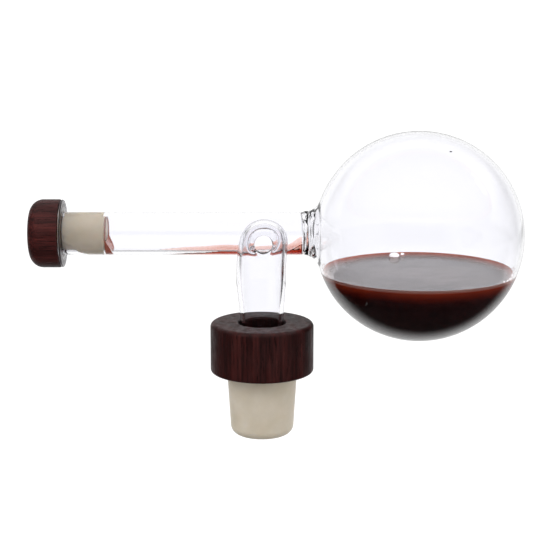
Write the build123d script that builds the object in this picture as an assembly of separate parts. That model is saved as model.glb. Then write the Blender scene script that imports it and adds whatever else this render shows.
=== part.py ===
from build123d import *
import os

# Bottle-top glass pourer: a blown bulb and a side tube, fused to a dome-topped stem that stands
# in a wood and silicone bottle stopper. The side tube's mouth has a small stopper of its own.
#
# Millimetres. The origin is the centre of the wood collar's underside, which sits on the
# bottle's lip. +Z is up along the stem, +X points to the bulb and -Y is the front.

# Bottle stopper
COLLAR_DIAMETER = 31.2
COLLAR_HEIGHT = 15.2
COLLAR_BORE = 14.4
COLLAR_TOP_ROUND = 1.3
COLLAR_UNDER_ROUND = 0.9
COLLAR_BORE_ROUND = 0.5
PLUG_TOP_DIAMETER = 21.2
PLUG_END_DIAMETER = 18.8
PLUG_LENGTH = 19.6
PLUG_END_ROUND = 2.9
PLUG_TOP_ROUND = 0.4
PLUG_SEAT_DEPTH = 0.6
SPIGOT_DIAMETER = 18.0
SPIGOT_HEIGHT = 6.0
GLUE_GAP = 0.05

# Stem tube
STEM_RADIUS = 7.5
STEM_WALL = 1.25
STEM_DOME_CENTRE = 39.0
STEM_FULL_FROM = 29.0
STEM_RADIUS_AT_COLLAR = 6.5
SHOULDER_TOP = 10.0
SHOULDER_CLEARANCE = 0.3
SHOULDER_FOOT = SPIGOT_HEIGHT + SHOULDER_CLEARANCE
TAIL_RADIUS = 4.7
TAIL_WALL = 1.2
TAIL_END = -17.6
TURNING_CLEARANCE = 0.05

# Side tube, behind the stem
TUBE_RADIUS = 6.55
TUBE_WALL = 1.25
TUBE_Y = 12.5
TUBE_Z = 40.1
TUBE_LEFT = -58.4
TUBE_RIGHT = 12.5
LIP_FACE = -61.5
LIP_RADIUS = 10.35
LIP_THICKNESS = 1.3
LIP_ROUND = 0.5

# Port that joins stem and side tube
PORT_X = 0.4
PORT_Z = 37.6
PORT_RADIUS = 3.0
PORT_RING_RADIUS = 4.3

# Bulb and its neck
BULB_RADIUS = 32.2
BULB_WALL = 0.9
BULB_X = 48.0
BULB_Z = 39.2
NECK_MOUTH_X = 17.5
NECK_MOUTH_RADIUS = 9.0
NECK_WAIST_X = 14.3
NECK_WAIST_RADIUS = 4.7
NECK_WAIST_SWELL = 0.2
NECK_MOUTH_WALL = 1.2
NECK_INSIDE_SHIFT = 0.6
NECK_MOUTH_DIRECTION = (0.5, 1)

# End stopper in the side tube's mouth
CAP_RADIUS = 10.45
CAP_GAP = 0.1
CAP_FACE = LIP_FACE - CAP_GAP
CAP_LENGTH = 10.0
CAP_CROWN_RADIUS = 22.0
CAP_EDGE_ROUND = 4.0
CAP_FACE_ROUND = 0.4
END_PLUG_TIP = -47.9
END_PLUG_ROUND = 0.6
END_SPIGOT_RADIUS = 4.0
END_SPIGOT_LENGTH = 4.0

# Wine
WINE_LEVEL = 28.4
WINE_GAP = 0.1
RESIDUE_LEFT = -31.0
RESIDUE_DEPTH = 1.3
DROP_LENGTH = 2.3
DROP_HEIGHT = 4.2

# Directions
TUBE_AXIS = Axis((0, TUBE_Y, TUBE_Z), (1, 0, 0))
TUBE_PLANE = Plane(origin=(0, TUBE_Y, TUBE_Z), x_dir=(1, 0, 0), z_dir=(0, -1, 0))

TUBE_BORE = TUBE_RADIUS - TUBE_WALL
LONG = 200.0
OVERCUT = 1.0


def turned_upright(outline):
    """A solid of revolution about +Z from an outline drawn as (radius, height)."""
    return revolve(Plane.XZ * make_face(outline), Axis.Z)


def turned_along_tube(outline):
    """A solid of revolution about the side tube's axis from an outline drawn as (x, radius)."""
    return revolve(TUBE_PLANE * make_face(outline), TUBE_AXIS)


def rod_along_tube(radius, x_from, x_to):
    """A plain round rod on the side tube's axis between two x positions."""
    start = Plane(origin=(x_from, TUBE_Y, TUBE_Z), z_dir=(1, 0, 0))
    return extrude(start * Circle(radius), x_to - x_from)


def ball(radius):
    """A ball on the bulb's centre."""
    return Pos(BULB_X, TUBE_Y, BULB_Z) * Sphere(radius)


def half_space_below(point, normal):
    """A large block whose top face passes through point, on the side opposite normal."""
    top = Plane(origin=point, z_dir=normal)
    return extrude(top * Rectangle(LONG, LONG), -LONG)


def wood_collar():
    """Turned ring: a through bore for the stem, with a seat and a counterbore for the plug below."""
    radius = COLLAR_DIAMETER / 2
    ring = extrude(Circle(radius) - Circle(COLLAR_BORE / 2), COLLAR_HEIGHT)
    top_edges = ring.edges().filter_by(GeomType.CIRCLE).group_by(Axis.Z)[-1].sort_by(SortBy.RADIUS)
    ring = fillet(top_edges[-1], COLLAR_TOP_ROUND)
    top_edges = ring.edges().filter_by(GeomType.CIRCLE).group_by(Axis.Z)[-1].sort_by(SortBy.RADIUS)
    ring = fillet(top_edges[0], COLLAR_BORE_ROUND)
    under_edges = ring.edges().filter_by(GeomType.CIRCLE).group_by(Axis.Z)[0].sort_by(SortBy.RADIUS)
    ring = fillet(under_edges[-1], COLLAR_UNDER_ROUND)
    seat = Cylinder(PLUG_TOP_DIAMETER / 2 + GLUE_GAP, 2 * PLUG_SEAT_DEPTH)
    return ring - seat - Cylinder(SPIGOT_DIAMETER / 2, 2 * SPIGOT_HEIGHT)


def bottle_plug():
    """Tapered plug with a round end, a spigot that rises into the collar and a bore for the tail."""
    top = PLUG_TOP_DIAMETER / 2
    end = PLUG_END_DIAMETER / 2
    seat = PLUG_SEAT_DEPTH
    outline = Polyline(
        (0, seat), (top, seat), (top, 0), (end, -PLUG_LENGTH), (0, -PLUG_LENGTH), close=True
    )
    body = turned_upright(outline)
    rims = body.edges().filter_by(GeomType.CIRCLE).sort_by(Axis.Z)
    body = fillet(rims[0], PLUG_END_ROUND)
    rims = body.edges().filter_by(GeomType.CIRCLE).sort_by(Axis.Z)
    body = fillet(rims[-1], PLUG_TOP_ROUND)
    spigot = extrude(Circle(SPIGOT_DIAMETER / 2 - GLUE_GAP), SPIGOT_HEIGHT - GLUE_GAP)
    bore = Cylinder(TAIL_RADIUS + TURNING_CLEARANCE, LONG)
    return body + spigot - bore


def stem_shape(inset, tail_inset, foot):
    """The stem's outside, or its inside when inset by its wall: tail, shoulder, tube and dome."""
    radius = STEM_RADIUS - inset
    at_collar = STEM_RADIUS_AT_COLLAR - inset
    tail = TAIL_RADIUS - tail_inset
    dome_top = STEM_DOME_CENTRE + radius
    outline = Curve() + [
        Line((0, foot), (tail, foot)),
        Line((tail, foot), (tail, SHOULDER_FOOT)),
        Spline(
            (tail, SHOULDER_FOOT),
            (at_collar, SHOULDER_TOP),
            tangents=[(0, 1), (0, 1)],
        ),
        Line((at_collar, SHOULDER_TOP), (at_collar, COLLAR_HEIGHT)),
        Spline(
            (at_collar, COLLAR_HEIGHT),
            (radius, STEM_FULL_FROM),
            tangents=[(0, 1), (0, 1)],
        ),
        Line((radius, STEM_FULL_FROM), (radius, STEM_DOME_CENTRE)),
        CenterArc((0, STEM_DOME_CENTRE), radius, 0, 90),
        Line((0, dome_top), (0, foot)),
    ]
    return turned_upright(outline)


def port_rod(radius, reach):
    """A round rod along Y through the port, from the stem's middle to the side tube's."""
    start = Plane(origin=(PORT_X, 0, PORT_Z), z_dir=(0, 1, 0))
    return extrude(start * Circle(radius), reach)


def neck_flare(waist, mouth_radius, mouth_x):
    """A trumpet on the tube's axis: the waist's radius, then a flare that opens into the bulb."""
    outline = Curve() + [
        Line((TUBE_RIGHT, 0), (TUBE_RIGHT, waist[0])),
        Spline(
            (TUBE_RIGHT, waist[0]),
            (NECK_WAIST_X, waist[1]),
            (mouth_x, mouth_radius),
            tangents=[(1, 0), NECK_MOUTH_DIRECTION],
        ),
        Line((mouth_x, mouth_radius), (BULB_X - BULB_RADIUS / 2, mouth_radius)),
        Line((BULB_X - BULB_RADIUS / 2, mouth_radius), (BULB_X - BULB_RADIUS / 2, 0)),
        Line((BULB_X - BULB_RADIUS / 2, 0), (TUBE_RIGHT, 0)),
    ]
    return turned_along_tube(outline)


def pour_lip():
    """Flared mouth: a thin flange that blends into the tube with a hollow curve."""
    back = LIP_FACE + LIP_THICKNESS
    blend = TUBE_LEFT - back
    outline = Curve() + [
        Line((LIP_FACE, TUBE_BORE), (LIP_FACE, LIP_RADIUS - LIP_ROUND)),
        RadiusArc(
            (LIP_FACE, LIP_RADIUS - LIP_ROUND),
            (LIP_FACE + LIP_ROUND, LIP_RADIUS),
            LIP_ROUND,
        ),
        Line((LIP_FACE + LIP_ROUND, LIP_RADIUS), (back - LIP_ROUND, LIP_RADIUS)),
        RadiusArc((back - LIP_ROUND, LIP_RADIUS), (back, LIP_RADIUS - LIP_ROUND), LIP_ROUND),
        Line((back, LIP_RADIUS - LIP_ROUND), (back, TUBE_RADIUS + blend)),
        RadiusArc((back, TUBE_RADIUS + blend), (TUBE_LEFT, TUBE_RADIUS), -blend),
        Line((TUBE_LEFT, TUBE_RADIUS), (TUBE_LEFT, TUBE_BORE)),
        Line((TUBE_LEFT, TUBE_BORE), (LIP_FACE, TUBE_BORE)),
    ]
    return turned_along_tube(outline)


def end_cap():
    """Turned wood cap: a shallow crown, a well rounded edge and a blind socket for the spigot."""
    far = CAP_FACE - CAP_LENGTH
    crown = Pos(far + CAP_CROWN_RADIUS, TUBE_Y, TUBE_Z) * Sphere(CAP_CROWN_RADIUS)
    body = rod_along_tube(CAP_RADIUS, far, CAP_FACE) & crown
    crown_edge = body.edges().filter_by(GeomType.CIRCLE).sort_by(Axis.X)[0]
    body = fillet(crown_edge, CAP_EDGE_ROUND)
    face_edge = body.edges().filter_by(GeomType.CIRCLE).sort_by(Axis.X)[-1]
    body = fillet(face_edge, CAP_FACE_ROUND)
    return body - rod_along_tube(END_SPIGOT_RADIUS, CAP_FACE - END_SPIGOT_LENGTH, CAP_FACE + OVERCUT)


def end_plug():
    """Silicone plug with a spigot in the cap's socket; it slides in the side tube's mouth."""
    body = rod_along_tube(TUBE_BORE - TURNING_CLEARANCE, CAP_FACE, END_PLUG_TIP)
    tip_edge = body.edges().filter_by(GeomType.CIRCLE).sort_by(Axis.X)[-1]
    body = fillet(tip_edge, END_PLUG_ROUND)
    spigot_foot = CAP_FACE - END_SPIGOT_LENGTH + GLUE_GAP
    return body + rod_along_tube(END_SPIGOT_RADIUS - GLUE_GAP, spigot_foot, CAP_FACE)


def tube_residue():
    """Wine left along the bottom of the side tube, deeper towards the neck."""
    bore = rod_along_tube(TUBE_BORE - WINE_GAP, RESIDUE_LEFT, TUBE_RIGHT)
    floor = TUBE_Z - TUBE_BORE + WINE_GAP
    slope = RESIDUE_DEPTH / (TUBE_RIGHT - RESIDUE_LEFT)
    return bore & half_space_below((RESIDUE_LEFT, TUBE_Y, floor), (-slope, 0, 1))


def plug_residue():
    """The drop of wine that clings between the end plug's tip and the tube's floor."""
    start = END_PLUG_TIP + WINE_GAP
    bore = rod_along_tube(TUBE_BORE - WINE_GAP, start, start + DROP_LENGTH)
    floor = TUBE_Z - TUBE_BORE + WINE_GAP
    slope = DROP_HEIGHT / DROP_LENGTH
    return bore & half_space_below((start + DROP_LENGTH, TUBE_Y, floor), (slope, 0, 1))


def liquid_pool():
    """Wine that fills the bulb up to its level surface."""
    surface = half_space_below((BULB_X, TUBE_Y, WINE_LEVEL), (0, 0, 1))
    return ball(BULB_RADIUS - BULB_WALL - WINE_GAP) & surface


stem_outside = stem_shape(0, 0, TAIL_END)
stem_inside = stem_shape(STEM_WALL, TAIL_WALL, TAIL_END - OVERCUT)
tube_outside = rod_along_tube(TUBE_RADIUS, TUBE_LEFT, TUBE_RIGHT)
tube_inside = rod_along_tube(TUBE_BORE, TUBE_LEFT - OVERCUT, TUBE_RIGHT + OVERCUT)
port_outside = port_rod(PORT_RING_RADIUS, TUBE_Y)
port_inside = port_rod(PORT_RADIUS, TUBE_Y)
joined_walls = (stem_outside + tube_outside) - stem_inside - tube_inside
neck_outside = neck_flare(
    (TUBE_RADIUS, TUBE_RADIUS + NECK_WAIST_SWELL), NECK_MOUTH_RADIUS, NECK_MOUTH_X
)
neck_inside = neck_flare(
    (TUBE_BORE, NECK_WAIST_RADIUS),
    NECK_MOUTH_RADIUS - NECK_MOUTH_WALL,
    NECK_MOUTH_X + NECK_INSIDE_SHIFT,
)
bulb_shell = ball(BULB_RADIUS) - ball(BULB_RADIUS - BULB_WALL)

parts = {
    "wood_collar": wood_collar(),
    "bottle_plug": bottle_plug(),
    "stem_tube": stem_outside - stem_inside - tube_outside - port_outside,
    "port_ring": (port_outside & joined_walls) - port_inside,
    "side_tube": tube_outside - tube_inside - port_outside,
    "pour_lip": pour_lip(),
    "bulb_neck": neck_outside - neck_inside - ball(BULB_RADIUS),
    "glass_bulb": bulb_shell - neck_inside,
    "end_cap": end_cap(),
    "end_plug": end_plug(),
    "liquid_pool": liquid_pool(),
    "tube_residue": tube_residue(),
    "plug_residue": plug_residue(),
}

os.makedirs("parts", exist_ok=True)
for name, solid in parts.items():
    solid.label = name
    export_step(solid, f"parts/{name}.step")
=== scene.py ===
import math
from contextlib import contextmanager

import bmesh
import bpy
import numpy as np
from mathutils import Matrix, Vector


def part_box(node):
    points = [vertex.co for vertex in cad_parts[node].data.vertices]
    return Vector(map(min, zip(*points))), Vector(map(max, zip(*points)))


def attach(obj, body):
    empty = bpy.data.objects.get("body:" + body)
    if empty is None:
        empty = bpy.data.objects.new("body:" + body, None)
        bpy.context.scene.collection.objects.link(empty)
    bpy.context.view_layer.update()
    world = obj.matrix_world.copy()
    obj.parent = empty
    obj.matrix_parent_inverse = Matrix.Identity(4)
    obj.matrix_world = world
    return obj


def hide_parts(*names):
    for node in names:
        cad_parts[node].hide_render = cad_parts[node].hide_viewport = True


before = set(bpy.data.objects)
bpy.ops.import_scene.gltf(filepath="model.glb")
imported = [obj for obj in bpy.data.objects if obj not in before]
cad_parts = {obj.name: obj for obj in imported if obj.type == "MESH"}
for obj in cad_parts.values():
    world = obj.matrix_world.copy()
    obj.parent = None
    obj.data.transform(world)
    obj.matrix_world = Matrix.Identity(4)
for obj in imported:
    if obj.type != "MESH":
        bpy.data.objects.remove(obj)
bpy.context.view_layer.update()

# Bottle-top glass pourer: a blown bulb and side tube fused to a domed stem, on a wood and
# silicone bottle stopper, with wine in the bulb and a small stopper in the tube's mouth.
# Lengths in this script are millimetres until a mesh is made, which is in metres.

MM = 0.001
DOUBLES = 0.00001

# Brightness of the studio: the wall behind and the floor, their sides, and the room in reflections
WHITE = 1.17
SIDE_GREY = 0.50
BACKDROP = 0.80
DARK_ROOM = 0.03
CEILING = 0.55
LEFT_WALL = 0.75
RIGHT_GLOW = 1.1
MIRRORED_WALL = 0.9
DOME_LOW = 0.75
DOME_HIGH = 1.25


def box_mm(node):
    """A CAD node's lowest and highest corners, in millimetres."""
    low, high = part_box(node)
    return np.array(low) / MM, np.array(high) / MM


# ---------------- sizes taken from the frame

collar_low, collar_high = box_mm("wood_collar")
plug_low, plug_high = box_mm("bottle_plug")
stem_low, stem_high = box_mm("stem_tube")
tube_low, tube_high = box_mm("side_tube")
lip_low, lip_high = box_mm("pour_lip")
bulb_low, bulb_high = box_mm("glass_bulb")
port_low, port_high = box_mm("port_ring")
cap_low, cap_high = box_mm("end_cap")
_, end_plug_high = box_mm("end_plug")
_, pool_high = box_mm("liquid_pool")
residue_low, _ = box_mm("tube_residue")
drop_low, drop_high = box_mm("plug_residue")

COLLAR_RADIUS = (collar_high[0] - collar_low[0]) / 2
COLLAR_TOP = collar_high[2]
COLLAR_BORE = 7.2
COLLAR_TOP_ROUND = 1.3
COLLAR_UNDER_ROUND = 0.9
COLLAR_BORE_ROUND = 0.5
SEAT_RADIUS = 9.0
SEAT_TOP = 6.0
GLUE_GAP = 0.05
PLUG_TOP_RADIUS = 10.6
PLUG_END_RADIUS = 9.4
PLUG_END = plug_low[2]
PLUG_END_ROUND = 2.9
PLUG_SWELL = 0.17
TURNING_GAP = 0.05
SPIGOT_TOP = plug_high[2]

STEM_RADIUS = (stem_high[0] - stem_low[0]) / 2
STEM_DOME = stem_high[2] - STEM_RADIUS
STEM_END = stem_low[2]
STEM_WALL = 1.25
STEM_AT_COLLAR = 6.5
TAIL_RADIUS = 4.7
TAIL_WALL = 1.2
SHOULDER_FOOT = 6.3
SHOULDER_TOP = 10.0
DOME_LEAN = 0.7
WAIST_DEPTH = 0.22
WAIST_HEIGHT = 40.0
WAIST_REACH = 3.2

TUBE_RADIUS = (tube_high[2] - tube_low[2]) / 2
TUBE_WALL = 1.25
TUBE_BORE = TUBE_RADIUS - TUBE_WALL
TUBE_Y = (tube_low[1] + tube_high[1]) / 2
TUBE_Z = (tube_low[2] + tube_high[2]) / 2
NECK_START = tube_high[0]
LIP_FACE = lip_low[0]
LIP_RADIUS = (lip_high[2] - lip_low[2]) / 2
LIP_THICKNESS = 0.75

BULB_RADIUS = (bulb_high[2] - bulb_low[2]) / 2
BULB_WALL = 0.9
BULB_X = bulb_high[0] - BULB_RADIUS
BULB_Z = (bulb_low[2] + bulb_high[2]) / 2
BULB_CENTRE = np.array([BULB_X, TUBE_Y, BULB_Z])
BULB_INSIDE = BULB_RADIUS - BULB_WALL
WALL_MIDDLE = BULB_RADIUS - BULB_WALL / 2

PORT_X = (port_low[0] + port_high[0]) / 2
PORT_Z = (port_low[2] + port_high[2]) / 2
PORT_RADIUS = 2.9
PORT_START = 2.0

CAP_RADIUS = (cap_high[2] - cap_low[2]) / 2
CAP_FAR = cap_low[0]
CAP_FACE = LIP_FACE - 0.1
CAP_CROWN = 40.0
CAP_EDGE_ROUND = 4.2
CAP_FACE_ROUND = 0.4
SOCKET_RADIUS = 4.0
SOCKET_DEPTH = 4.0
PRESS = 0.02
END_PLUG_TIP = end_plug_high[0]
END_PLUG_ROUND = 0.6

WINE_CONTACT = pool_high[2] + 0.25
WINE_RISE = 1.4
WINE_LEVEL = WINE_CONTACT - WINE_RISE
WINE_GAP = 0.015

GLASS_INDEX = 1.47
WINE_INDEX = 1.345

VESSEL_AROUND = 128
STEM_AROUND = 112

# ---------------- mesh building


def ring_faces(rings, around, closed=False):
    """Quads between each ring of points and the next, and from the last to the first if closed."""
    ring = np.arange(rings if closed else rings - 1)[:, None]
    step = np.arange(around)[None, :]
    beside = (step + 1) % around
    here, above = ring * around, (ring + 1) % rings * around
    return np.stack([here + step, here + beside, above + beside, above + step], -1).reshape(-1, 4)


def closed_tube(points, start, end):
    """Points and faces of a closed skin: rings of points (rings, around, 3) between two end points."""
    rings, around = points.shape[:2]
    cloud = np.concatenate([points.reshape(-1, 3), [start], [end]])
    step = np.arange(around)
    beside = (step + 1) % around
    last = (rings - 1) * around
    first_fan = np.stack([beside, step, np.full(around, rings * around)], -1)
    last_fan = np.stack([last + step, last + beside, np.full(around, rings * around + 1)], -1)
    return cloud, ring_faces(rings, around).tolist() + first_fan.tolist() + last_fan.tolist()


def grid(x, y, z):
    """Points (rings, around, 3) from three arrays over the same two parameters."""
    return np.stack(np.broadcast_arrays(x, y, z), -1)


@contextmanager
def opened(mesh):
    """A mesh opened for editing, and written back at the end."""
    work = bmesh.new()
    work.from_mesh(mesh)
    yield work
    work.to_mesh(mesh)
    work.free()


def shade_smooth(mesh):
    """Rounds the shading across every face."""
    mesh.polygons.foreach_set("use_smooth", np.ones(len(mesh.polygons), bool))
    mesh.update()


def put_in_scene(thing):
    """Adds an object to the scene and gives it back."""
    bpy.context.scene.collection.objects.link(thing)
    return thing


def new_piece(name, cloud, faces):
    """An object at the origin from points in millimetres, with its faces turned outwards."""
    mesh = bpy.data.meshes.new(name)
    mesh.from_pydata((np.asarray(cloud) * MM).tolist(), [], faces)
    with opened(mesh) as work:
        bmesh.ops.recalc_face_normals(work, faces=work.faces)
    shade_smooth(mesh)
    return put_in_scene(bpy.data.objects.new(name, mesh))


def places(parts, name="co"):
    """Where a mesh's points or faces are, in millimetres, one row each."""
    flat = np.empty(3 * len(parts))
    parts.foreach_get(name, flat)
    return flat.reshape(-1, 3) / MM


def move_points(piece, points):
    """Puts the piece's points at these places, in millimetres."""
    piece.data.vertices.foreach_set("co", (points * MM).ravel())
    piece.data.update()


def mark_points(piece, name, values):
    """Writes one number a point as an attribute that the materials read."""
    mark = piece.data.attributes.new(name, "FLOAT", "POINT")
    mark.data.foreach_set("value", np.asarray(values, np.float32))


def smoothstep(value, low, high):
    """0 below low, 1 above high, and 3t^2 - 2t^3 between them."""
    t = np.clip((value - low) / (high - low), 0, 1)
    return t * t * (3 - 2 * t)


def bell(value, centre, width):
    """A bump of height 1: exp(-((value - centre) / width)^2)."""
    return np.exp(-(((value - centre) / width) ** 2))


def arc(centre, radius, start, end, steps):
    """Points (along, out) on a circle's arc, from start to end in degrees, both ends included."""
    angle = np.radians(np.linspace(start, end, steps))
    return np.stack([centre[0] + radius * np.cos(angle), centre[1] + radius * np.sin(angle)], -1)


def straight(start, end, steps):
    """Points (along, out) on a straight line, both ends left out."""
    part = np.linspace(0, 1, steps + 2)[1:-1, None]
    return (1 - part) * np.array(start) + part * np.array(end)


def around_angles(count):
    """Even steps of angle once round, in radians."""
    return np.linspace(0, 2 * np.pi, count, endpoint=False)


# ---------------- fused glass


def tube_centre_z(along):
    """Height of the vessel's centre line: the tube's axis, easing down to the bulb's centre."""
    return TUBE_Z + (BULB_Z - TUBE_Z) * smoothstep(along, NECK_START, NECK_START + 10)


def about_tube(along, radius, angle, axis_z=TUBE_Z):
    """Points at a radius and an angle about the side tube's axis."""
    return grid(along, TUBE_Y + radius * np.cos(angle), axis_z + radius * np.sin(angle))


def vessel_rings(profile, around, ripple):
    """The profile (x, radius) turned about the centre line; ripple(x, angle) is added to the radius."""
    angle = around_angles(around)[None, :]
    along = profile[:, :1]
    radius = profile[:, 1:] + ripple(along, angle)
    return about_tube(along, radius, angle, tube_centre_z(along))


def neck_ripple_outside(along, angle):
    """Two soft uneven seams round the neck's outside, where the pieces were fused."""
    first = bell(along, NECK_START + 0.9 + 0.2 * np.sin(2 * angle + 0.6), 0.7)
    second = bell(along, NECK_START + 3.3 + 0.25 * np.sin(3 * angle + 2.0), 0.8)
    uneven = 0.10 * np.sin(5 * angle + 0.4) + 0.07 * np.sin(9 * angle + 1.3)
    return first * (0.10 + uneven) + second * (-0.16 + uneven)


def neck_ripple_inside(along, angle):
    """Two uneven ridges that stand into the neck's bore, and a groove between them."""
    first = bell(along, NECK_START + 0.7 + 0.25 * np.sin(2 * angle + 1.0), 0.55)
    second = bell(along, NECK_START + 3.2 + 0.30 * np.sin(3 * angle + 2.6), 0.5)
    groove = bell(along, NECK_START + 1.9, 0.6)
    uneven = 0.28 * np.sin(4 * angle + 0.9) + 0.16 * np.sin(7 * angle + 2.2)
    return groove * 0.35 - first * (0.75 + uneven) - second * (0.65 - uneven)


def follow_wall(points, share):
    """Moves points out from the bulb's centre by a share of its wall's slow change in thickness.

    The change is a few hundredths of a millimetre: sines of the direction from the centre.
    """
    outward = (points - BULB_CENTRE) / BULB_RADIUS
    u, v, w = np.moveaxis(outward, -1, 0)
    change = 0.05 * np.sin(2.3 * u + 1.1) * np.cos(1.9 * w - 0.4) + 0.04 * np.sin(3.1 * v + 2.0 * w)
    return points + outward * (change * share * BULB_RADIUS / BULB_INSIDE)[..., None]


def sphere_angle_at(radius, out):
    """Angle from +X, in degrees, of the bulb's left side where it is out millimetres from the axis."""
    return 180 - math.degrees(math.asin(out / radius))


def hermite(start, start_slope, end, end_slope, steps):
    """Points on the cubic y(x) with the given ends and slopes, both ends left out."""
    t = np.linspace(0, 1, steps + 2)[1:-1]
    span = end[0] - start[0]
    y = (2 * t**3 - 3 * t**2 + 1) * start[1] + (t**3 - 2 * t**2 + t) * span * start_slope
    y = y + (3 * t**2 - 2 * t**3) * end[1] + (t**3 - t**2) * span * end_slope
    return np.stack([start[0] + span * t, y], -1)


# Places along the tube where its skins have a ring: close together at the plug and at the port
TUBE_STATIONS = np.concatenate([
    np.linspace(-57.6, -45.0, 40),
    np.linspace(-44.0, -10.0, 20),
    np.linspace(-9.5, 12.1, 58),
])


def vessel_outside():
    """Closed outer skin: the bulb's sphere, the neck's flare, the tube and the flared lip."""
    neck_out = 9.4
    ball = arc((BULB_X, 0), BULB_RADIUS, 1.5, sphere_angle_at(BULB_RADIUS, neck_out), 100)
    neck = hermite(tuple(ball[-1]), 1.35, (NECK_START - 0.4, TUBE_RADIUS), 0.0, 26)
    tube = np.stack([TUBE_STATIONS[::-1], np.full(len(TUBE_STATIONS), TUBE_RADIUS)], -1)
    back = LIP_FACE + LIP_THICKNESS
    root = 1.0
    hollow = arc((back + root, TUBE_RADIUS + root), root, -90, -180, 12)
    half = LIP_THICKNESS / 2
    rim = arc((LIP_FACE + half, LIP_RADIUS - half), half, 0, 180, 15)
    face = straight(tuple(rim[-1]), (LIP_FACE, 0.6), 6)
    profile = np.concatenate([ball, neck, tube, hollow, rim, face])
    points = vessel_rings(profile, VESSEL_AROUND, neck_ripple_outside)
    far = (BULB_X + BULB_RADIUS, TUBE_Y, BULB_Z)
    return closed_tube(points, far, (LIP_FACE, TUBE_Y, TUBE_Z))


def vessel_inside():
    """Closed skin of the hollow: the bulb's inside, the neck's ridges and the tube's bore.

    At the mouth the bore is wider by 0.45 * exp(-depth / 0.25), where the flame rounded it.
    """
    inner = BULB_INSIDE
    neck_out = 8.5
    ball = arc((BULB_X, 0), inner, 1.5, sphere_angle_at(inner, neck_out), 100)
    neck = hermite(tuple(ball[-1]), 1.5, (NECK_START - 0.6, TUBE_BORE), 0.0, 34)
    stations = TUBE_STATIONS[TUBE_STATIONS < NECK_START - 0.7][::-1]
    tube = np.stack([stations, np.full(len(stations), TUBE_BORE)], -1)
    depth = np.array([3.3, 2.7, 2.1, 1.5, 0.9, 0.5, 0.2, 0.05, -0.05, -0.7, -1.5])
    polish = 0.45 * np.exp(-np.maximum(depth, 0) / 0.25)
    mouth = np.stack([LIP_FACE + depth, TUBE_BORE + polish], -1)
    profile = np.concatenate([ball, neck, tube, mouth])
    points = vessel_rings(profile, VESSEL_AROUND, neck_ripple_inside)
    points = follow_wall(points, smoothstep(points[..., 0], NECK_START + 6, NECK_START + 14))
    far = (BULB_X + inner, TUBE_Y, BULB_Z)
    return closed_tube(points, far, (mouth[-1, 0], TUBE_Y, TUBE_Z))


def stem_centre_x(z):
    """The stem's slight lean: its dome stands a little to the bulb's side."""
    return DOME_LEAN * smoothstep(z, 31.0, 44.0) - 0.25 * bell(z, 29.0, 9.0)


def stem_waist(z):
    """How much the stem narrows where the port pulled it in: a bell about the waist's height."""
    return WAIST_DEPTH * bell(z, WAIST_HEIGHT, WAIST_REACH)


def stem_radius(z, inset, tail_inset):
    """Outside radius at each height: tail, shoulder, taper, straight; less the wall when inset."""
    tail = TAIL_RADIUS - tail_inset
    at_collar = STEM_AT_COLLAR - inset
    full = STEM_RADIUS - inset
    radius = tail + (at_collar - tail) * smoothstep(z, SHOULDER_FOOT, SHOULDER_TOP)
    radius = radius + (full - at_collar) * smoothstep(z, COLLAR_TOP - 1.5, 30.0)
    return radius - stem_waist(z)


def stem_skin(inset, tail_inset, foot, opening=0.0):
    """Closed skin turned about the leaning centre line, with a round dome on top.

    At the tail's very end the radius is more by opening * exp(-d / 0.25), d being the distance in.
    """
    straight_z = np.concatenate([
        np.linspace(foot, foot + 1.2, 7),
        np.linspace(foot + 2, 5.5, 8),
        np.linspace(6, 31, 46),
        np.linspace(31.5, STEM_DOME, 22),
    ])
    flare = opening * np.exp(-np.maximum(straight_z - STEM_END, 0) / 0.25)
    straight_r = stem_radius(straight_z, inset, tail_inset) + flare
    top_radius = STEM_RADIUS - inset
    turn = np.linspace(0, np.pi / 2, 26)[1:-1]
    dome_z = STEM_DOME + top_radius * np.sin(turn)
    dome_r = np.cos(turn) * (top_radius - stem_waist(dome_z))
    z = np.concatenate([straight_z, dome_z])[:, None]
    radius = np.concatenate([straight_r, dome_r])[:, None]
    angle = around_angles(STEM_AROUND)[None, :]
    points = grid(stem_centre_x(z) + radius * np.cos(angle), radius * np.sin(angle), z)
    top = STEM_DOME + top_radius
    return closed_tube(points, (stem_centre_x(foot), 0, foot), (stem_centre_x(top), 0, top))


def port_skin():
    """The round way between stem and tube, a plain rod along Y."""
    y = np.linspace(PORT_START, TUBE_Y, 36)[:, None]
    angle = around_angles(72)[None, :]
    points = grid(PORT_X + PORT_RADIUS * np.cos(angle), y, PORT_Z + PORT_RADIUS * np.sin(angle))
    return closed_tube(points, (PORT_X, PORT_START, PORT_Z), (PORT_X, TUBE_Y, PORT_Z))


def tube_distance(p, radius):
    """Distance from the side tube's skin of that radius, less than 0 inside it."""
    return np.hypot(p[:, 1] - TUBE_Y, p[:, 2] - tube_centre_z(p[:, 0])) - radius


def stem_distance(p, inset):
    """Distance from the stem's skin: a round tube below the dome's centre, a ball above it."""
    across = np.hypot(p[:, 0] - stem_centre_x(p[:, 2]), p[:, 1])
    above = np.maximum(p[:, 2] - STEM_DOME, 0)
    return np.hypot(across, above) - (STEM_RADIUS - inset - stem_waist(p[:, 2]))


def port_distance(p):
    """Distance from the port's way, which ends at the two tubes' centres."""
    rod = np.hypot(p[:, 0] - PORT_X, p[:, 2] - PORT_Z) - PORT_RADIUS
    return np.maximum(rod, np.maximum(p[:, 1] - TUBE_Y, PORT_START - p[:, 1]))


def soft_union(a, b, reach):
    """The nearer of two distances, rounded where they differ by less than reach."""
    close = np.maximum(reach - np.abs(a - b), 0) / reach
    return np.minimum(a, b) - close * close * reach / 4


def outside_field(p):
    """The two tubes' outer skins with a melted fillet between them."""
    return soft_union(tube_distance(p, TUBE_RADIUS), stem_distance(p, 0), 2.2)


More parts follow.
